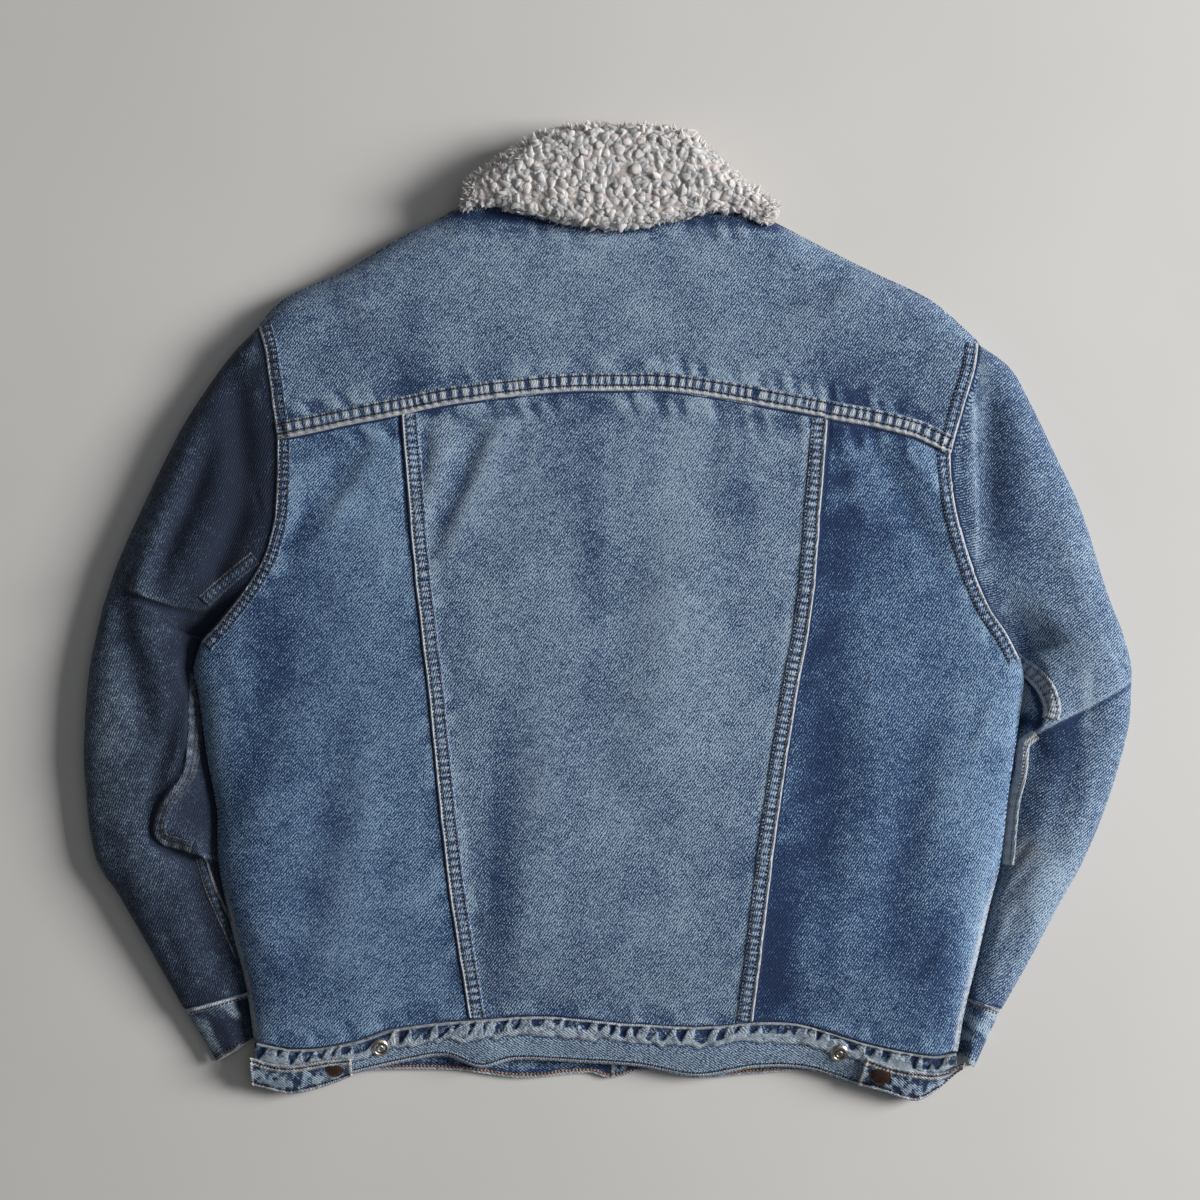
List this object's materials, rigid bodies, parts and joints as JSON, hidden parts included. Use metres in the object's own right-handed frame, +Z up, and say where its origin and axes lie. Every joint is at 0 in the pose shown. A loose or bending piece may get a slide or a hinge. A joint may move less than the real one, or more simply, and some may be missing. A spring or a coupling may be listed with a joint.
{
  "type": "sherpa lined jacket",
  "caption": "Light-wash denim jacket with a folded sherpa collar, laid flat on its front with its back up, sleeves beside the body and waist tabs with snaps",
  "frame": {"origin": "on the surface under the middle of the laid jacket's box", "axes": "+X across the jacket to the wearer's right, +Y towards the collar, +Z up from the surface"},
  "size_m": [0.7964, 0.74, 0.0461],
  "materials": {
    "denim": "light-wash indigo twill, faded and soft",
    "denim_faded": "puckered and abraded indigo twill of bands and tabs",
    "denim_dark": "unfaded dark indigo twill",
    "sherpa": "curly off-white pile",
    "copper": "aged copper, matt",
    "nickel": "worn nickel plate"
  },
  "bodies": {
    "root": {"yoke_back": "denim", "back_centre": "denim", "back_side_left": "denim", "back_side_right": "denim", "front_left": "denim", "front_right": "denim", "front_band_left": "denim", "front_band_right": "denim", "sleeve_left_top": "denim", "sleeve_left_under": "denim", "sleeve_right_top": "denim", "sleeve_right_under": "denim", "cuff_left_top": "denim", "cuff_left_under": "denim", "cuff_right_top": "denim", "cuff_right_under": "denim", "waistband_back": "denim_faded", "waistband_front_left": "denim_faded", "waistband_front_right": "denim_faded", "waist_tab_left": "denim_faded", "waist_tab_right": "denim_faded", "collar_under": "denim_dark", "collar_sherpa": "sherpa", "collar_end_left": "sherpa", "collar_end_right": "sherpa", "snap_cap_left": "copper", "snap_cap_right": "copper", "front_snap_1": "copper", "front_snap_2": "copper", "front_snap_3": "copper", "front_snap_4": "copper", "front_snap_5": "copper", "front_snap_6": "copper", "stud_left": "nickel", "stud_right": "nickel"}
  },
  "joints": []
}
